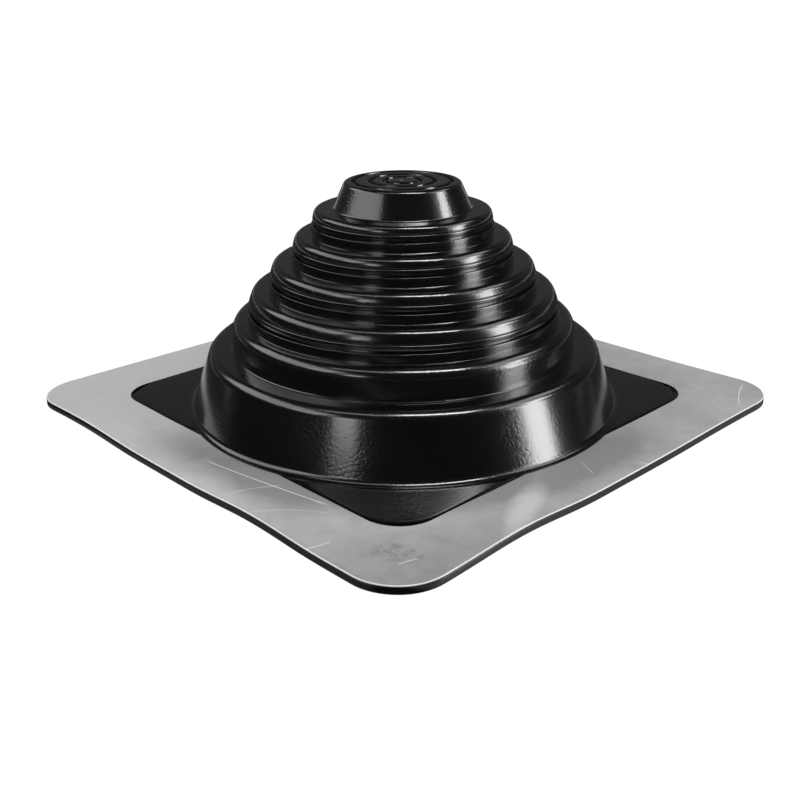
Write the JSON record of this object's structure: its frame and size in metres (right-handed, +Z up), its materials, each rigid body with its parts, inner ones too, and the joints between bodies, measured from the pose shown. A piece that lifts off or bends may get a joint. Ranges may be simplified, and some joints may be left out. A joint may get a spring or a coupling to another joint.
{
  "type": "pipe flashing boot",
  "caption": "Stepped rubber cone with a closed ring-grooved cap and ribbed tiers, bonded to a square aluminium flange that seals a round pipe through a roof.",
  "frame": {"origin": "centre of the flange's underside", "axes": "+Z up the cone's axis, X and Y along the flange's sides"},
  "size_m": [0.203, 0.203, 0.0836],
  "materials": {
    "rubber": "satin moulded EPDM rubber",
    "aluminium": "soft mill sheet, lightly scratched"
  },
  "bodies": {
    "root": {"rubber_boot": "rubber", "aluminium_flange": "aluminium"}
  },
  "joints": []
}
